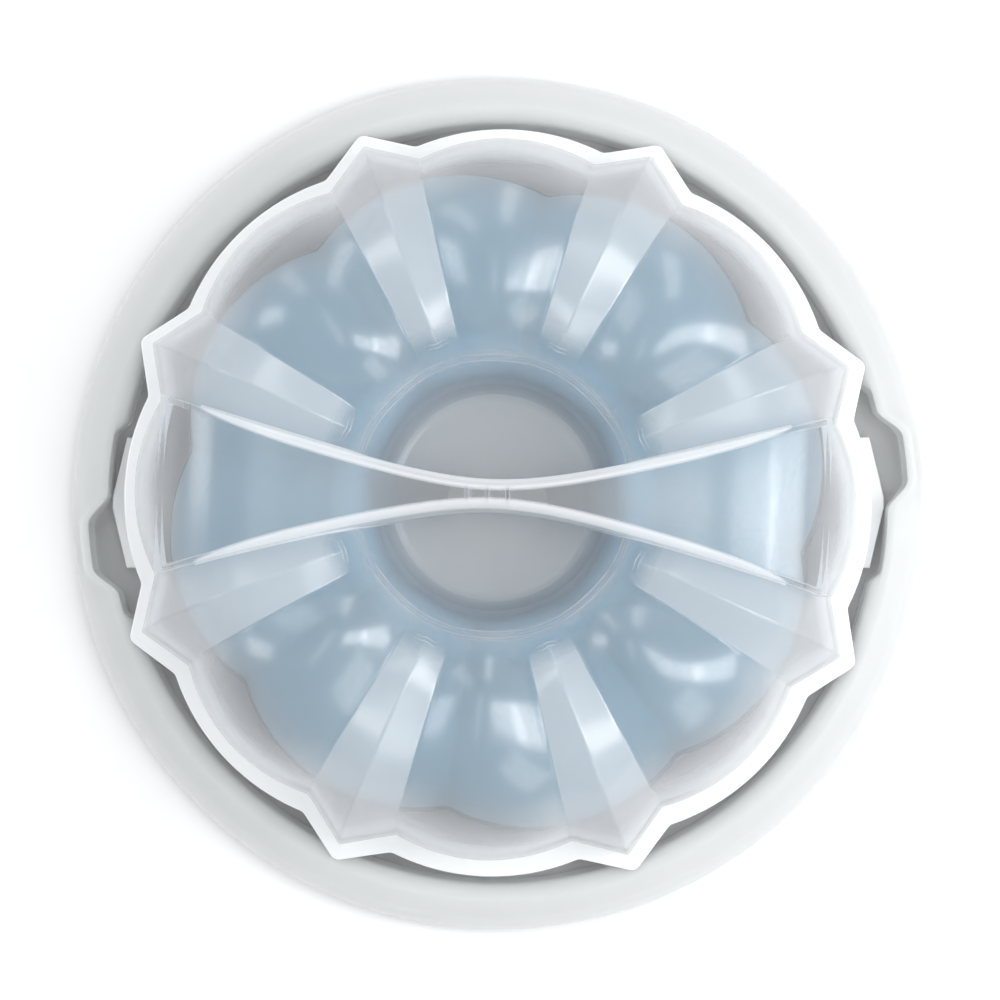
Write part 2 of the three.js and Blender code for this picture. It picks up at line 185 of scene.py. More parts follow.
def combined(base, other, operation):
    """base with other added or taken away; other is used up."""
    modifier = base.modifiers.new("combine", "BOOLEAN")
    modifier.operation = operation
    modifier.solver = "MANIFOLD"
    modifier.object = other
    bpy.context.view_layer.update()
    graph = bpy.context.evaluated_depsgraph_get()
    mesh = bpy.data.meshes.new_from_object(base.evaluated_get(graph))
    base.modifiers.remove(modifier)
    old, base.data = base.data, mesh
    bpy.data.meshes.remove(old)
    spent = other.data
    bpy.data.objects.remove(other)
    bpy.data.meshes.remove(spent)
    return base


def finish_mesh(piece, crease):
    mesh = piece.data
    mesh.shade_smooth()
    mesh.set_sharp_from_angle(angle=crease * RAD)
    return piece


# ---- Meridians ----
def ramp(x, start, end):
    u = np.clip((x - start) / (end - start), 0, 1)
    return u * u * (3 - 2 * u)


def resampled(step, r, z, *channels):
    """The line of (r, z) with a point every step, and the channels carried along it."""
    length = np.concatenate([[0], np.cumsum(np.hypot(np.diff(r), np.diff(z)))])
    count = max(round(float(length[-1]) / step), 2) + 1
    places = np.linspace(0, length[-1], count)
    return [np.interp(places, length, values) for values in (r, z, *channels)]


def softened(values, spread):
    """values smoothed by a bell curve spread samples wide; both ends stay where they are."""
    reach = int(math.ceil(3 * spread))
    kernel = np.exp(-0.5 * (np.arange(-reach, reach + 1) / spread) ** 2)
    kernel /= kernel.sum()
    start = 2 * values[0] - values[reach:0:-1]
    end = 2 * values[-1] - values[-2 : -reach - 2 : -1]
    return np.convolve(np.concatenate([start, values, end]), kernel, "valid")


def with_normals(r, z):
    """Unit normals of a meridian, to the left of its direction."""
    dr, dz = np.gradient(r), np.gradient(z)
    length = np.hypot(dr, dz)
    return dz / length, -dr / length


def dome_arc(degrees, foot_r, foot_z, top_r, top_z):
    """r and z of a full, steep-sided arc from a foot to a crown."""
    t = degrees * RAD
    r = top_r + (foot_r - top_r) * np.maximum(np.cos(t), 0) ** 0.6
    return r, foot_z + (top_z - foot_z) * np.sin(t) ** 0.95


def shoulder_arc(degrees, top_r, top_z, end_r, drop):
    """r and z of the quarter ellipse from a crown in and down to a well."""
    t = degrees * RAD
    return top_r - (top_r - end_r) * np.sin(t), top_z - drop * (1 - np.cos(t))


def crowded(end, count=2000):
    """Degrees from 0 to end, closer together near the end."""
    return end * (1 - (1 - np.linspace(0, 1, count)) ** 2.6)


def cover_meridian(step):
    """r, z, normals, lobe and fin of the cover from the foot of the dome to the well's floor."""
    t = crowded(90)
    r, z = dome_arc(t, DOME_FOOT, FLANGE_TOP, CROWN_RADIUS, CROWN_Z)
    lobe = LOBE_FOOT + (LOBE_CROWN - LOBE_FOOT) * np.sin(t * RAD)
    fin = FIN_FOOT + (FIN_CROWN - FIN_FOOT) * t / 90
    u = np.linspace(0, 90, 300)[1:]
    shoulder = shoulder_arc(u, CROWN_RADIUS, CROWN_Z, WELL_RADIUS, WELL_SHOULDER)
    r = np.concatenate([r, shoulder[0], [WELL_FLOOR_RADIUS, 0]])
    z = np.concatenate([z, shoulder[1], [WELL_FLOOR, WELL_FLOOR]])
    fade = np.interp(u, [20, 40, 49, 68, 90], [1, 0.9, 0.75, 0.3, 0])
    lobe = np.concatenate([lobe, LOBE_CROWN * fade, [0, 0]])
    fade = np.interp(u, [20, 40, 49], [1, 0.9, 0])
    fin = np.concatenate([fin, FIN_CROWN * fade, [0, 0]])
    dense = 0.25
    r, z, lobe, fin = resampled(dense, r, z, lobe, fin)
    r, z = softened(r, 1.4 / dense), softened(z, 1.4 / dense)
    lobe, fin = softened(lobe, 2 / dense), softened(fin, 0.7 / dense)
    r, z, lobe, fin = resampled(step, r, z, lobe, fin)
    nr, nz = with_normals(r, z)
    nr[0], nz[0] = 1, 0
    nr[-1], nz[-1] = 0, 1
    return r, z, nr, nz, np.maximum(lobe, 0), np.maximum(fin, 0)


def mirrored_period(offsets):
    """Column angles of one period, given on one side of its crease, for all the periods."""
    one = sorted({-x for x in offsets} | set(offsets) - {PERIOD / 2})
    return np.array([(k + 0.5) * PERIOD + x for k in range(FLUTES) for x in one])


FIN_SHARES = (0, 0.025, 0.05, 0.08, 0.12, 0.2, 0.32, 0.46, 0.6, 0.74, 0.85, 0.92, 0.96, 1)
LOBE_OFFSETS = (8.2, 8.45, 8.8, 9.4, 10.4, 11.8, 13.4, 15, 16.6, 18.2, 19.8, 21.2, 22.5)
cover_columns = mirrored_period([share * FIN_HALF for share in FIN_SHARES] + list(LOBE_OFFSETS))


def rounded_ring(radial, z, radius, spread, columns, turn=0.0):
    """Points of one ring. radial is complex: how far out and how far along each fine angle's
    point is; both it and z are smoothed over spread millimetres, then read at the columns."""
    order = np.fft.fftfreq(FINE, 1 / FINE)
    damping = np.exp(-0.5 * (order * spread / max(radius, 4)) ** 2)
    radial = np.fft.ifft(np.fft.fft(radial) * damping)
    z = np.fft.ifft(np.fft.fft(z) * damping).real
    place = (columns - turn) % 360
    real = np.interp(place, fine_angles, radial.real, period=360)
    along = np.interp(place, fine_angles, radial.imag, period=360)
    height = np.interp(place, fine_angles, z, period=360)
    point = (real + 1j * along) * np.exp(1j * columns * RAD)
    return np.stack([point.real, point.imag, height], axis=1)


def cover_ring(row, wall):
    """One ring of the cover: flat facets meet at each fin's crease, lobes bulge between."""
    r, z, nr, nz, lobe, fin, flare = row
    base_r, base_z = r - nr * wall, z - nz * wall
    offset = (fine_angles % PERIOD) - PERIOD / 2
    share = np.clip(np.abs(offset) / FIN_HALF, 0, 1)
    bulge = 1 - ((np.abs(offset) - PERIOD / 2) / (PERIOD / 2 - FIN_HALF)) ** 2
    out = lobe * np.where(share < 1, 0, bulge)
    radial = base_r + nr * out + 0j
    height = base_z + nz * out
    crease_r, crease_z = base_r + nr * fin, base_z + nz * fin
    across = base_r * math.cos(FIN_HALF * RAD)
    x = across + (1 - share) * (crease_r - across)
    y = offset / FIN_HALF * base_r * math.sin(FIN_HALF * RAD)
    facet = (x + 1j * y) * np.exp(-1j * offset * RAD)
    facet_z = base_z + (1 - share) * (crease_z - base_z)
    full = min(fin / 2, 1)
    in_fin = share < 1
    radial = np.where(in_fin, base_r + full * (facet - base_r), radial)
    height = np.where(in_fin, base_z + full * (facet_z - base_z), height)
    return rounded_ring(radial + flare, height, base_r, FIN_SOFTNESS, cover_columns)


def dome(name, wall, bottom, flare_height):
    """The dome and well as a solid: its outside when wall is 0, its inside when it isn't."""
    r, z, nr, nz, lobe, fin = cover_meridian(DOME_STEP)
    last = np.argmax(r < 6)
    row = (r[0], bottom, 1, 0, lobe[0], fin[0], flare_height)
    rings = [cover_ring(row, wall)]
    if flare_height:
        # The dome's foot sweeps out to meet the flange.
        for rise in np.linspace(0, flare_height, 7)[:-1]:
            flare = flare_height - math.sqrt(flare_height**2 - (flare_height - rise) ** 2)
            at = FLANGE_TOP - 0.02 + rise
            row = [np.interp(at, z[:200], values[:200]) for values in (r, nr, nz, lobe, fin)]
            rings.append(cover_ring((row[0], at, *row[1:], flare), wall))
    for i in range(last):
        if flare_height and z[i] < FLANGE_TOP + flare_height:
            continue
        rings.append(cover_ring((r[i], z[i], nr[i], nz[i], lobe[i], fin[i], 0), wall))
    return capped(name, rings)


def polar_outline(corners):
    """Radius at each fine angle of a polygon given by (radius, angle) corners."""
    points = np.array([r * np.exp(1j * a * RAD) for r, a in corners])
    closed = np.append(points, points[0])
    along = [np.linspace(closed[i], closed[i + 1], 60)[:-1] for i in range(len(points))]
    line = np.concatenate(along)
    angle = np.degrees(np.angle(line)) % 360
    order = np.argsort(angle)
    return np.interp(fine_angles, angle[order], np.abs(line)[order], period=360)


def flange():
    corners = []
    # The points' reach and half angle, then the radius beside them and the bulge between.
    tip, tip_half = RIM_INNER + 0.2, 7.6
    valley, lobe = SKIRT_OUTER + 1.1, 3.3
    for k in range(FLUTES):
        middle = (k + 0.5) * PERIOD
        corners += [(tip, middle - 0.4), (tip, middle + 0.4)]
        for i in range(17):
            u = i / 8 - 1
            angle = middle + tip_half + (PERIOD - 2 * tip_half) * i / 16
            corners.append((valley + lobe * (1 - u * u), angle))
    outline = polar_outline(corners)
    edge = 0.9
    rings = []
    turn = [(math.sin(a * RAD), math.cos(a * RAD)) for a in range(0, 91, 15)]
    profile = [(FLANGE_UNDER + edge * (1 - c), edge * (1 - s)) for s, c in turn]
    profile += [(FLANGE_TOP - edge * (1 - c), edge * (1 - s)) for s, c in turn[::-1]]
    for level, inset in profile:
        radial = outline - inset + 0j
        height = np.full(FINE, level)
        rings.append(rounded_ring(radial, height, SKIRT_OUTER, 0.7, cover_columns))
    return capped("flange", rings)


def revolved(points, columns):
    angles = columns * RAD
    cos, sin = np.cos(angles), np.sin(angles)
    return [np.stack([r * cos, r * sin, np.full(len(columns), z)], axis=1) for r, z in points]


def skirt():
    inner, top, round_off = SKIRT_OUTER - COVER_WALL, FLANGE_UNDER + 0.8, 0.6
    arc = [(math.sin(a * RAD), math.cos(a * RAD)) for a in range(0, 91, 30)]
    profile = [(SKIRT_OUTER - round_off * (1 - s), SKIRT_BOTTOM + round_off * (1 - c)) for s, c in arc]
    profile += [(SKIRT_OUTER, top), (inner, top)]
    profile += [(inner + round_off * (1 - s), SKIRT_BOTTOM + round_off * (1 - c)) for s, c in arc[::-1]]
    return looped("skirt", revolved(profile, cover_columns))


def prism(name, outline, bottom, height, inset=0.0):
    """An upright solid over a closed outline, its top and bottom edges bevelled by inset."""
    outline = np.asarray(outline, float)
    middle = outline.mean(0)
    rings = []
    for level, share in ((0, 1), (inset, 0), (height - inset, 0), (height, 1)):
        away = outline - middle
        reach = np.linalg.norm(away, axis=1, keepdims=True)
        flat = outline - away / reach * inset * share
        rings.append(np.column_stack([flat, np.full(len(flat), bottom + level)]))
    return capped(name, rings)


def polar(r, angle):
    return r * math.cos(angle * RAD), r * math.sin(angle * RAD)


def lug(side):
    root = SKIRT_OUTER - COVER_WALL / 2
    middle = LUG_ANGLE + side
    corners = [
        polar(root, middle - LUG_HALF),
        polar(LUG_APEX - 3.4, middle - LUG_HALF + 0.5),
        polar(LUG_APEX, middle - 0.8),
        polar(LUG_APEX, middle + 0.8),
        polar(LUG_APEX - 3.4, middle + LUG_HALF - 0.5),
        polar(root, middle + LUG_HALF),
    ]
    line = []
    for start, end in zip(corners[:-1], corners[1:]):
        for share in np.linspace(0, 1, 8)[:-1]:
            line.append([s + (e - s) * share for s, e in zip(start, end)])
    line.append(corners[-1])
    for angle in np.linspace(LUG_HALF, -LUG_HALF, 10)[1:-1]:
        line.append(polar(root, middle + angle))
    return prism("lug", line, LUG_BOTTOM, LUG_THICKNESS, 0.35)


# ---- Handle ----
def lobe_top(x):
    """Height of a lobe's ridge at x, level with the crown inside it."""
    r, z, nr, nz, lobe, _ = cover_meridian(0.5)
    line_r, line_z = r + nr * lobe, z + nz * lobe
    crown = int(np.argmax(line_z))
    order = np.argsort(line_r[: crown + 1])
    return np.interp(np.abs(x), line_r[: crown + 1][order], line_z[: crown + 1][order])


def handle_line():
    """The handle's top seen from the side: x and z."""
    x = np.linspace(-1.04 * HANDLE_REACH, 1.04 * HANDLE_REACH, 141)
    inner = np.minimum(np.abs(x) / CROWN_RADIUS, 1)
    rise = HANDLE_RISE - (HANDLE_RISE - HANDLE_STEP) * inner * inner
    run = np.maximum((np.abs(x) - CROWN_RADIUS) / (HANDLE_REACH - CROWN_RADIUS), 0)
    return x, softened(lobe_top(x) + rise * (1 - run * run), 1.5)


def handle_half(x, z):
    """Half the handle's width."""
    spread = HANDLE_SPREAD * (np.hypot(x, HANDLE_BEND) - HANDLE_BEND)
    return HANDLE_HALF_WAIST + spread + HANDLE_DRAFT * (COVER_TOP - z)


def handle(name, wall):
    x, z = handle_line()
    dx, dz = np.gradient(x), np.gradient(z)
    length = np.hypot(dx, dz)
    x, z = x + dz / length * wall, z - dx / length * wall
    fillet = max(HANDLE_FILLET - wall / 2, 0.4)
    rings = []
    for px, top in zip(x, z):
        side = [(handle_half(px, level) - wall, level) for level in (HANDLE_BOTTOM, top - fillet)]
        for degrees in range(15, 91, 15):
            out, up = math.cos(degrees * RAD), math.sin(degrees * RAD)
            level = top - fillet * (1 - up)
            side.append((handle_half(px, top) - wall - fillet * (1 - out), level))
        section = side + [(-y, level) for y, level in side[::-1]]
        rings.append([(px, y, level) for y, level in section])
    return capped(name, rings)


def rib(x):
    """A thin wall across the inside of the handle."""
    top = float(np.interp(x, *handle_line())) - COVER_WALL / 2
    line = [(handle_half(x, z) - COVER_WALL / 2, z) for z in (HANDLE_BOTTOM, top)]
    section = line + [(-y, z) for y, z in line[::-1]]
    sides = [[(x + side, y, z) for y, z in section] for side in (-RIB_HALF, RIB_HALF)]
    return capped("rib", sides)


def make_cover():
    body = dome("cover_clear", 0, FLANGE_UNDER + 1.2, FLANGE_FLARE)
    body = combined(body, flange(), "UNION")
    body = combined(body, handle("handle", 0), "UNION")
    body = combined(body, dome("inside", COVER_WALL, FLANGE_UNDER - 4, 0), "DIFFERENCE")
    body = combined(body, handle("handle_inside", COVER_WALL), "DIFFERENCE")
    body = combined(body, skirt(), "UNION")
    for side in (0, 180):
        body = combined(body, lug(side), "UNION")
    for x in RIB_PLACES:
        body = combined(body, rib(x), "UNION")
    return finish_mesh(body, 24)


# ---- Tray ----
def away_from(angle, middle):
    return np.abs(((angle - middle) % 180 + 270) % 180 - 90)


def pocket_at(angle):
    return 1 - ramp(away_from(angle, POCKET_ANGLE), POCKET_HALF - POCKET_EASE, POCKET_HALF)


def bay_at(angle):
    middle = (POCKET_ANGLE + LUG_ANGLE) / 2
    half = LUG_HALF + (POCKET_ANGLE - LUG_ANGLE) / 2
    return 1 - ramp(away_from(angle, middle), half - 0.5, half + 2)


def tray_rows():
    """Radius, height and how far a pocket and a lug's bay push it out, over the tray's section."""
    R, H = TRAY_RADIUS, RIM_HEIGHT
    under = PLATEAU_TOP - TRAY_WALL
    floor = TRAY_WALL

    def roll(lean, drop):
        return (CHANNEL_OUTER + RIM_DRAFT * lean, H - RIM_ROLL * drop, 1, 1 - lean)

    rows = [
        (3, PLATEAU_TOP, 0, 0),
        (CHANNEL_INNER - 0.6, PLATEAU_TOP, 0, 0),
        (CHANNEL_INNER + 0.9, floor, 0, 0),
        (CHANNEL_OUTER - 0.4, floor, 1, 1),
        roll(0.06, 1),
        roll(0.16, 0.6),
        roll(0.4, 0.36),
        roll(0.75, 0.2),
        roll(1, 0.1),
        (RIM_INNER + 2.6, H, 1, 0),
        (R - 9.5, H - 0.6, 0.75, 0),
        (R - 4.6, H - 2.2, 0.2, 0),
        (R - 1.6, H - 4.6, 0, 0),
        (R - 0.3, H - 7, 0, 0),
        (R, H - 9.2, 0, 0),
        (R, RIM_LIP, 0, 0),
        (R - 2.2, RIM_LIP, 0, 0),
        (R - 2.5, H - 7.6, 0, 0),
        (R - 4.6, H - 4.9, 0.15, 0),
        (R - 9.8, H - 3, 0.65, 0),
        (RIM_INNER + 2.6, H - 3.2, 1, 0),
        (CHANNEL_OUTER + 4.4, H - 3.9, 1, 0.5),
        (CHANNEL_OUTER + 3.2, H - 5.6, 1, 0.8),
        (CHANNEL_OUTER + 2.3, 0.4, 1, 1),
        (CHANNEL_OUTER + 1.6, 0, 1, 1),
        (CHANNEL_INNER - 1.8, 0, 0, 0),
        (CHANNEL_INNER - 2.8, under, 0, 0),
        (3, under, 0, 0),
    ]
    dense = 0.1
    r, z, pocket, bay = resampled(dense, *(np.array(column, float) for column in zip(*rows)))
    r, z = softened(r, 0.5 / dense), softened(z, 0.5 / dense)
    # Rows crowd where the section bends, and spread out over the plateau.
    bend = np.abs(np.gradient(np.unwrap(np.arctan2(np.gradient(z), np.gradient(r)))))
    pace = np.minimum(1 / 1.6 + softened(bend / dense, 6) * 4.5, 3.0) * np.where(r < 100, 0.15, 1)
    travelled = np.cumsum(pace) * dense
    places = np.interp(np.arange(int(travelled[-1]) + 1), travelled, np.arange(len(r)))
    places[-1] = len(r) - 1
    index = np.arange(len(r))
    return [np.interp(places, index, values) for values in (r, z, pocket, bay)]


def lock_slot(side):
    start = LUG_ANGLE - LUG_HALF - LOCK_TURN + side
    arc = np.linspace(start, start + LOCK_TURN, 9)
    line = [polar(CHANNEL_OUTER - 2, a) for a in arc]
    line += [polar(LUG_APEX + 3, a) for a in arc[::-1]]
    return prism("slot", line, LUG_BOTTOM - SLOT_CLEARANCE, LUG_THICKNESS + 2 * SLOT_CLEARANCE)


def make_tray():
    columns = np.arange(TRAY_COLUMNS) * 360 / TRAY_COLUMNS
    pocket, bay = pocket_at(columns), bay_at(columns)
    cos, sin = np.cos(columns * RAD), np.sin(columns * RAD)
    rings = []
    for r, z, pocket_share, bay_share in zip(*tray_rows()):
        reach = r + pocket_share * POCKET_DEPTH * pocket + bay_share * RIM_DRAFT * bay
        rings.append(np.stack([reach * cos, reach * sin, np.full(TRAY_COLUMNS, z)], axis=1))
    body = capped("tray_white", rings)
    for side in (0, 180):
        body = combined(body, lock_slot(side), "DIFFERENCE")
    return finish_mesh(body, 30)


# ---- Ring mould ----
def mould_meridian():
    """r, z, normals and lobe of the mould from its foot over the crown and down to its tube."""
    start = 4
    t = start + crowded(90) * (90 - start) / 90
    r, z = dome_arc(t, MOULD_FOOT, MOULD_BOTTOM, MOULD_CROWN_RADIUS, MOULD_CROWN)
    lobe = 8 + np.sin(t * RAD)
    u = np.linspace(0, 90, 200)[1:-10]
    shoulder = shoulder_arc(u, MOULD_CROWN_RADIUS, MOULD_CROWN, FUNNEL_TOP + 1, 14)
    fade = np.interp(u, [0, 25, 50, 75, 90], [1, 1, 0.85, 0.4, 0.1])
    tube_z = MOULD_BOTTOM + 4
    r = np.concatenate([r, shoulder[0], [FUNNEL_TOP, TUBE_RADIUS + 0.4]])
    z = np.concatenate([z, shoulder[1], [MOULD_CROWN - 16, tube_z]])
    lobe = np.concatenate([lobe, 9 * fade, [0, 0]])
    dense = 0.3
    r, z, lobe = resampled(dense, r, z, lobe)
    r, z, lobe = softened(r, 2 / dense), softened(z, 2 / dense), softened(lobe, 3 / dense)
    r, z, lobe = resampled(2.0, r, z, lobe)
    nr, nz = with_normals(r, z)
    return r, z, nr, nz, np.maximum(lobe, 0)


def mould_ring(r, z, nr, nz, lobe, wall, columns):
    offset = (fine_angles + PERIOD / 2) % PERIOD - PERIOD / 2
    out = lobe * (1 - (offset / (PERIOD / 2)) ** 2) - wall
    return rounded_ring(r + nr * out + 0j, z + nz * out, r, 0.9, columns, MOULD_TURN)


def make_mould():
    steps = (0, 0.6, 1.2, 2, 3.2, 5, 7.5, 10.5, 13.5, 16.5, 19.5, 22.5)
    one = sorted({-x for x in steps} | set(steps) - {22.5})
    columns = np.array([MOULD_TURN + (k + 0.5) * PERIOD + x for k in range(FLUTES) for x in one])
    columns = columns % 360
    columns.sort()
    r, z, nr, nz, lobe = mould_meridian()
    lip_top = MOULD_BOTTOM + MOULD_LIP
    bead = TUBE_RADIUS + 2.7
    rings = []
    lip = [
        (-MOULD_WALL, 0),
        (2.4, 0),
        (2.85, 0.15),
        (3, 0.6),
        (3, MOULD_LIP - 0.6),
        (2.85, MOULD_LIP - 0.15),
        (2.4, MOULD_LIP),
        (0.6, MOULD_LIP),
    ]
    for out, up in lip:
        rings.append(mould_ring(MOULD_FOOT + out, MOULD_BOTTOM + up, 1, 0, lobe[0], 0, columns))
    skin = [i for i in range(len(r)) if z[i] > lip_top + 0.6 or i > len(r) // 2]
    for i in skin:
        rings.append(mould_ring(r[i], z[i], nr[i], nz[i], lobe[i], 0, columns))
    tube = [
        (TUBE_RADIUS, lip_top),
        (TUBE_RADIUS, MOULD_BOTTOM + 0.4),
        (TUBE_RADIUS + 0.4, MOULD_BOTTOM),
        (bead - 0.4, MOULD_BOTTOM),
        (bead, MOULD_BOTTOM + 0.4),
        (bead, lip_top),
    ]
    for at_r, at_z in tube:
        rings.append(mould_ring(at_r, at_z, 0, 0, 0, 0, columns))
    for i in skin[::-1]:
        rings.append(mould_ring(r[i], z[i], nr[i], nz[i], lobe[i], MOULD_WALL, columns))
    return finish_mesh(looped("mould_blue", rings), 30)


cover = make_cover()
tray = make_tray()
mould = make_mould()


# ---- Materials ----
# How much each surface of the cover hides: over the dome looked at squarely, at its flange, up
# its wall, along the handle's walls, on the fins and on the well's floor.
BASE_MILK = 0.09
FOOT_MILK = 0.97
WALL_MILK = 0.75
HANDLE_MILK = 0.62
FIN_MILK = 0.3
WELL_MILK = 0.1


class Nodes:
    """Short calls for building a material's node tree."""

    def __init__(self, name):
        self.material = bpy.data.materials.new(name)
        self.material.use_nodes = True
        self.tree = self.material.node_tree
        self.tree.nodes.clear()

    def add(self, kind, inputs=None, **settings):
        node = self.tree.nodes.new(kind)
        for key, value in settings.items():
            setattr(node, key, value)
        for key, value in (inputs or {}).items():
            self.put(node.inputs[key], value)
        return node

    def put(self, socket, value):
        if isinstance(value, bpy.types.NodeSocket):
            self.tree.links.new(value, socket)
        else:
            socket.default_value = value

    def noise(self, vector, scale, detail=2.0, roughness=0.5):
        inputs = {"Vector": vector, "Scale": scale, "Detail": detail, "Roughness": roughness}
        return self.add("ShaderNodeTexNoise", inputs).outputs["Fac"]

    def math(self, operation, a, b=0.0, c=0.0, clamp=False):
        inputs = {0: a, 1: b, 2: c}
        node = self.add("ShaderNodeMath", inputs, operation=operation, use_clamp=clamp)
        return node.outputs[0]

    def between(self, value, from_low, from_high, to_low, to_high):
        inputs = {0: value, 1: from_low, 2: from_high, 3: to_low, 4: to_high}
        return self.add("ShaderNodeMapRange", inputs).outputs[0]

    def mix_color(self, share, a, b):
        node = self.add("ShaderNodeMix", {0: share}, data_type="RGBA")
        self.put(node.inputs[6], a)
        self.put(node.inputs[7], b)
        return node.outputs[2]

    def bump(self, height, strength, distance):
        inputs = {"Height": height, "Strength": strength, "Distance": distance}
        return self.add("ShaderNodeBump", inputs).outputs["Normal"]

    def place(self):
        return self.add("ShaderNodeTexCoord").outputs["Object"]

    def shine(self, shader):
        self.add("ShaderNodeOutputMaterial", {"Surface": shader})
        return self.material


def tray_plastic():
    """Satin white polypropylene."""
    n = Nodes("tray_plastic")
    place = n.place()
    cloud = n.noise(place, 9.0, 3)
    speck = n.noise(place, 420.0, 2)
    color = n.mix_color(cloud, (0.640, 0.652, 0.648, 1), (0.672, 0.682, 0.680, 1))
    rough = n.between(n.noise(place, 60.0, 3), 0.3, 0.7, 0.36, 0.46)
    grain = n.math("MULTIPLY_ADD", speck, 0.25, n.noise(place, 35.0, 1))
    inputs = {
        "Base Color": color,
        "Roughness": rough,
        "IOR": 1.49,
        "Subsurface Weight": 0.85,
        "Subsurface Radius": (1.0, 1.0, 1.0),
        "Subsurface Scale": 0.014,
        "Normal": n.bump(grain, 0.25, 0.0004),
    }
    return n.shine(n.add("ShaderNodeBsdfPrincipled", inputs).outputs[0])


def mould_silicone():
    """Blue-grey silicone with a faint bloom."""
    n = Nodes("mould_silicone")
    place = n.place()
    cloud = n.noise(place, 14.0, 4)
    color = n.mix_color(cloud, (0.080, 0.215, 0.315, 1), (0.115, 0.265, 0.370, 1))
    # Painted light: the funnel's wall is coloured paler than the lobes, to lift the shade that falls
    # deep in the funnel.
    flat = n.add("ShaderNodeVectorMath", {0: place, 1: (1, 1, 0)}, operation="MULTIPLY").outputs[0]
    away = n.add("ShaderNodeVectorMath", {0: flat}, operation="LENGTH").outputs["Value"]
    rise, fall = n.between(away, 0.034, 0.046, 0, 1), n.between(away, 0.05, 0.06, 1, 0)
    funnel_painted_light = n.math("MULTIPLY", rise, fall)
    color = n.mix_color(funnel_painted_light, color, (0.24, 0.46, 0.62, 1))
    rough = n.between(n.noise(place, 90.0, 3), 0.3, 0.7, 0.6, 0.75)
    inputs = {
        "Base Color": color,
        "Roughness": rough,
        "IOR": 1.41,
        "Sheen Weight": 0.15,
        "Sheen Roughness": 0.5,
        "Normal": n.bump(n.noise(place, 260.0, 2), 0.2, 0.0003),
    }
    return n.shine(n.add("ShaderNodeBsdfPrincipled", inputs).outputs[0])


def handle_milk(n, x, y):
    """How white the handle is: full in a band along each wall, none in the skin between."""
    bend = n.math("SQRT", n.math("MULTIPLY_ADD", x, x, HANDLE_BEND**2))
    half = n.math("MULTIPLY_ADD", bend, HANDLE_SPREAD, HANDLE_HALF_WAIST - HANDLE_SPREAD * HANDLE_BEND)
    depth = n.math("SUBTRACT", half, n.math("ABSOLUTE", y))
    run = n.between(n.math("ABSOLUTE", x), 62, 104, 0, 1)
    width = n.math("SQRT", n.math("SUBTRACT", 1.0, n.math("MULTIPLY", run, run)))
    inner = n.math("MULTIPLY", width, 4.4)
    soft = n.math("DIVIDE", n.math("SUBTRACT", inner, depth), 1.5, clamp=True)
    outer = n.between(depth, -1.3, -0.75, 0, 1)
    return n.math("MULTIPLY", n.math("MULTIPLY", soft, outer), n.between(run, 0.96, 1, 1, 0))


def fin_share(n, x, y):
    """1 on the fins and 0 on the lobes between them."""
    turn = n.math("DIVIDE", n.math("ARCTAN2", y, x), PERIOD * RAD)
    away = n.math("ABSOLUTE", n.math("SUBTRACT", n.math("FRACT", turn), 0.5))
    return n.between(away, (FIN_HALF - 0.3) / PERIOD, (FIN_HALF + 0.1) / PERIOD, 1, 0)


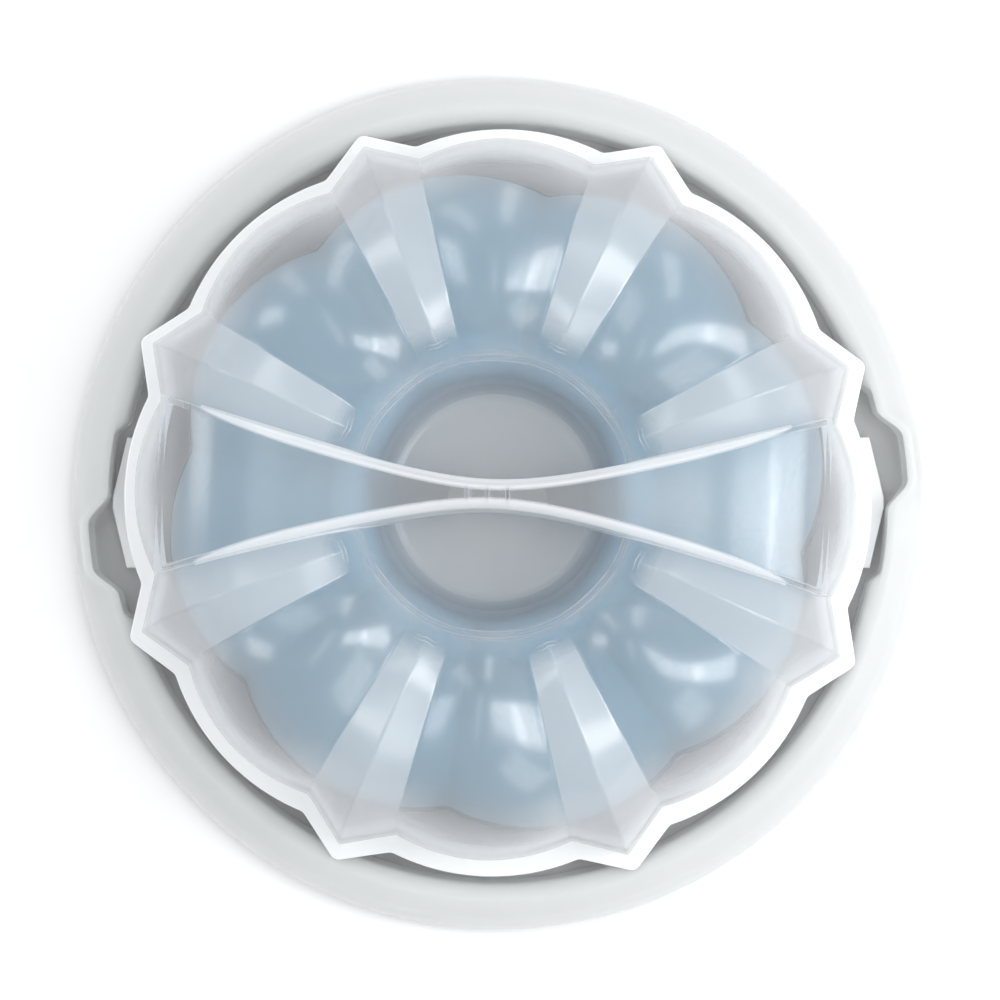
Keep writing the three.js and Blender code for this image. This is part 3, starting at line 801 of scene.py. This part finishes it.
def cover_plastic():
    """Translucent polypropylene: clear over the dome, milky at its foot, handle and fins."""
    n = Nodes("cover_plastic")
    place = n.place()
    split = n.add("ShaderNodeSeparateXYZ", {"Vector": place}).outputs
    x, y, z = (n.math("MULTIPLY", split[axis], 1 / MM) for axis in range(3))
    r = n.math("SQRT", n.math("MULTIPLY_ADD", x, x, n.math("MULTIPLY", y, y)))
    haze = n.noise(place, 22.0, 3)
    fine = n.noise(place, 700.0, 2)
    height = n.math("MULTIPLY_ADD", fine, 0.02, n.noise(place, 26.0, 1))
    normal = n.bump(height, 0.3, 0.0012)
    wall = n.between(z, FLANGE_TOP + 50, FLANGE_TOP + 105, WALL_MILK, 0)
    foot = n.math("MAXIMUM", wall, n.between(z, FLANGE_TOP + 15, FLANGE_TOP + 80, FOOT_MILK, 0))
    above = n.between(z, WELL_FLOOR - 3, WELL_FLOOR + 1, 0, 1)
    walls = n.math("MULTIPLY", handle_milk(n, x, y), n.math("MULTIPLY", above, HANDLE_MILK))
    fins = n.math("MULTIPLY", fin_share(n, x, y), n.between(r, 50, 62, 0, FIN_MILK))
    floor = n.between(r, WELL_FLOOR_RADIUS - 6, WELL_FLOOR_RADIUS + 2, WELL_MILK, 0)
    # A slanting line of sight runs further through the wall, which then hides more.
    facing = n.add("ShaderNodeLayerWeight", {"Blend": 0.5}).outputs["Facing"]
    across = n.math("MAXIMUM", n.math("SUBTRACT", 1.0, facing), 0.06)
    depth = n.between(haze, 0.3, 0.7, -BASE_MILK - 0.015, -BASE_MILK + 0.015)
    base = n.math("SUBTRACT", 1.0, n.math("EXPONENT", n.math("DIVIDE", depth, across)))
    solid = base
    for part in (foot, walls, fins, floor):
        solid = n.math("MAXIMUM", solid, part)
    clear = n.add("ShaderNodeBsdfTransparent", {"Color": (0.985, 0.99, 0.995, 1)}).outputs[0]
    white = (0.955, 0.965, 0.975, 1)
    lit = n.add("ShaderNodeBsdfDiffuse", {"Color": white, "Normal": normal}).outputs[0]
    glow = n.add("ShaderNodeBsdfTranslucent", {"Color": white}).outputs[0]
    passing = n.between(z, FLANGE_TOP, FLANGE_TOP + 12, 0.05, 0.35)
    body = n.add("ShaderNodeMixShader", {0: passing, 1: lit, 2: glow}).outputs[0]
    through = n.add("ShaderNodeMixShader", {0: solid, 1: clear, 2: body}).outputs[0]
    rough = n.between(fine, 0.3, 0.7, 0.2, 0.27)
    gloss = n.add("ShaderNodeBsdfGlossy", {"Roughness": rough, "Normal": normal}).outputs[0]
    # Both sides of the thin wall reflect alike, so this follows the angle alone.
    slant = n.add("ShaderNodeLayerWeight", {"Blend": 0.5, "Normal": normal}).outputs["Facing"]
    shine = n.math("MULTIPLY_ADD", n.math("POWER", slant, 5.0), 0.35, 0.085)
    return n.shine(n.add("ShaderNodeMixShader", {0: shine, 1: through, 2: gloss}).outputs[0])


def floor_paper():
    """White seamless paper."""
    n = Nodes("floor_paper")
    place = n.place()
    color = n.mix_color(n.noise(place, 3.0, 3), (0.94, 0.94, 0.945, 1), (0.96, 0.96, 0.96, 1))
    inputs = {
        "Base Color": color,
        "Roughness": n.between(n.noise(place, 20.0, 2), 0.3, 0.7, 0.85, 0.95),
        "Specular IOR Level": 0.1,
    }
    return n.shine(n.add("ShaderNodeBsdfPrincipled", inputs).outputs[0])


for piece, material, body, node, slot in (
    (tray, tray_plastic(), "base", "tray", "white_plastic"),
    (mould, mould_silicone(), "mould", "ring_mould", "blue_grey_silicone"),
    (cover, cover_plastic(), "lid", "cover", "translucent_plastic"),
):
    piece.data.materials.clear()
    piece.data.materials.append(material)
    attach(piece, body)
    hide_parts(node)


# ---- Floor, light and camera ----
def make_floor():
    half, steps = 3.0, 12
    side = np.linspace(-half, half, steps + 1) / MM
    points = [(x, y, 0) for y in side for x in side]
    faces = []
    for j in range(steps):
        for i in range(steps):
            a = j * (steps + 1) + i
            faces.append((a, a + 1, a + steps + 2, a + steps + 1))
    made = new_object("floor", points, faces)
    made.data.materials.append(floor_paper())


def softbox(name, place, size, radiance):
    """A rectangular light facing the object; size is (along the rim, towards overhead)."""
    light = bpy.data.lights.new(name, "AREA")
    light.shape = "RECTANGLE"
    light.size, light.size_y = size
    light.energy = radiance * math.pi * size[0] * size[1]
    made = bpy.data.objects.new(name, light)
    made.location = place
    direction = Vector((0, 0, 0.08)) - Vector(place)
    made.rotation_euler = direction.to_track_quat("-Z", "Y").to_euler()
    bpy.context.scene.collection.objects.link(made)


def make_lights():
    softbox("key", (0.6, 0.0, 1.25), (0.35, 0.9), 3.2)
    softbox("window", (1.15, 0.0, 0.75), (0.45, 1.1), 3.2)
    softbox("left_window", (-1.15, 0.12, 0.75), (0.35, 0.6), 2.2)
    softbox("back_window", (0.1, 1.15, 0.75), (0.3, 1.2), 1.6)
    softbox("far_window", (-0.8, 0.8, 0.75), (0.3, 1.0), 1.0)
    softbox("near_window", (0.75, -0.75, 0.8), (0.6, 1.0), 1.2)
    softbox("strip", (-0.2, 0.02, 1.32), (0.5, 0.085), 2.0)
    world = bpy.data.worlds.new("studio")
    world.use_nodes = True
    background = world.node_tree.nodes["Background"]
    background.inputs["Color"].default_value = (0.97, 0.985, 1.0, 1)
    background.inputs["Strength"].default_value = 0.9
    bpy.context.scene.world = world


def make_camera():
    """Nearly straight above, turned a little and looking just beside the middle."""
    camera = bpy.data.cameras.new("camera")
    camera.lens = 120
    camera.sensor_width = 36
    camera.clip_end = 20
    made = bpy.data.objects.new("camera", camera)
    bpy.context.scene.collection.objects.link(made)
    turn = 2 * RAD
    right = Vector((math.cos(turn), math.sin(turn), 0))
    up = Vector((-math.sin(turn), math.cos(turn), 0))
    aim = right * 0.0008 + up * 0.0012
    eye = Vector((0.0169, -0.0254, 1.30))
    back = (eye - aim).normalized()
    side = up.cross(back).normalized()
    top = back.cross(side)
    axes = Matrix((side, top, back)).transposed().to_4x4()
    made.matrix_world = Matrix.Translation(eye) @ axes
    bpy.context.scene.camera = made


make_floor()
make_lights()
make_camera()
bpy.context.scene.view_settings.view_transform = "Standard"
